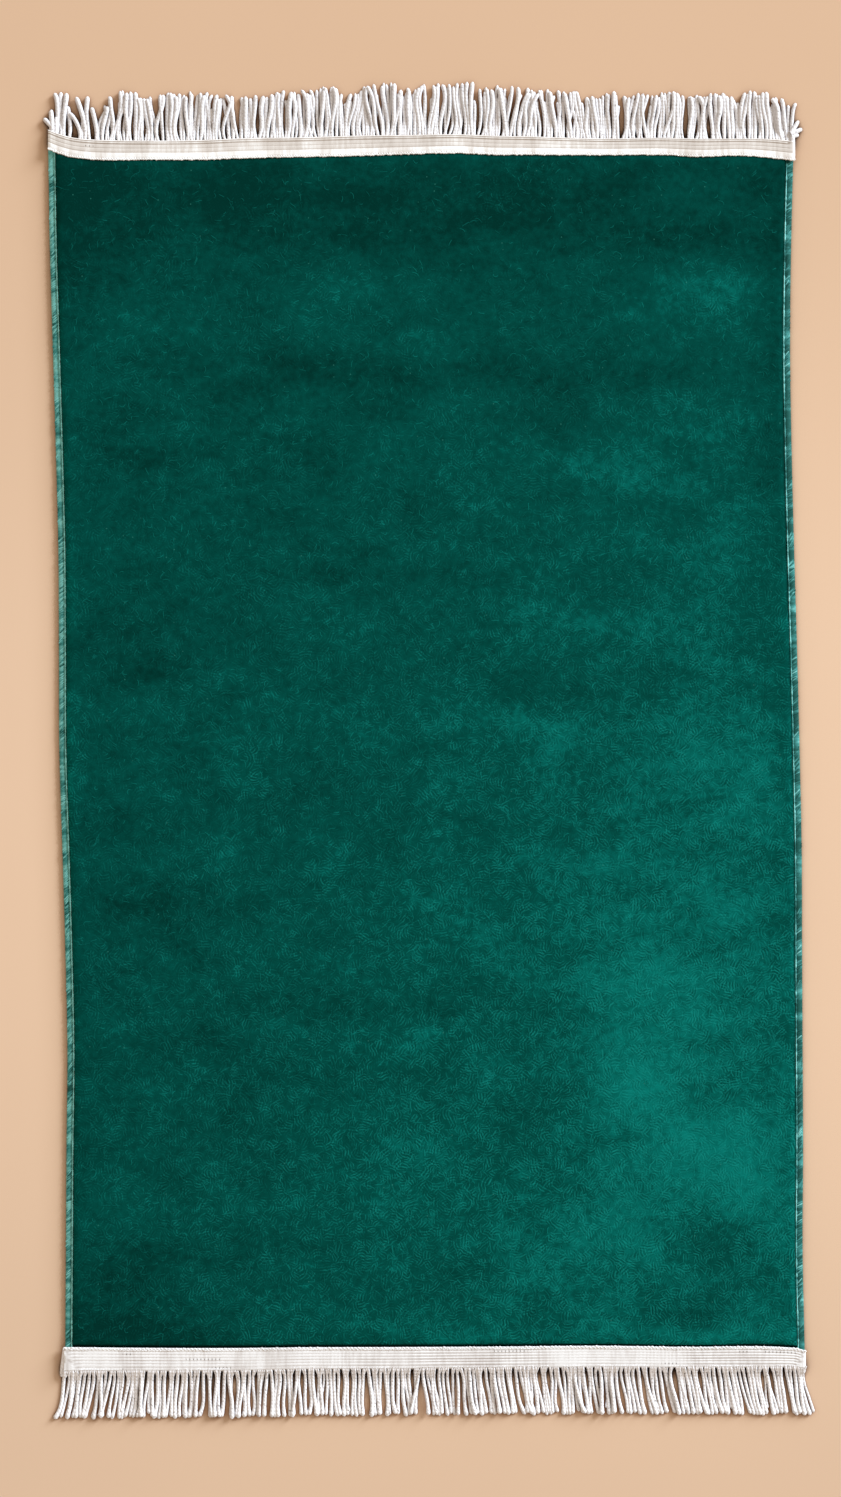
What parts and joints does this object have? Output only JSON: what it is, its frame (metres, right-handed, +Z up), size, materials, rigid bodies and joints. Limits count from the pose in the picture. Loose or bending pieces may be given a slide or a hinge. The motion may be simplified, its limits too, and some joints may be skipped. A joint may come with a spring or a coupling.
{
  "type": "prayer rug",
  "caption": "Flat rectangular plush prayer rug with overcast side bindings and a white woven fringe across each end.",
  "frame": {"origin": "on the surface that the rug lies on, at the middle of its footprint with the fringes", "axes": "+Z up out of the pile, +Y along the rug to the far fringe (the top of the picture), +X to the right seen from above"},
  "size_m": [0.6992, 1.2208, 0.0073],
  "materials": {
    "pile": "dense cut plush pile, brushed into light and dark patches",
    "binding": "slightly glossy overcast yarn",
    "fringe_yarn": "matt off-white yarn",
    "backing": "plain woven ground on the underside"
  },
  "bodies": {
    "root": {"pile_cloth": "pile", "binding_left": "binding", "binding_right": "binding", "fringe_far": "fringe_yarn", "fringe_near": "fringe_yarn"}
  },
  "joints": []
}
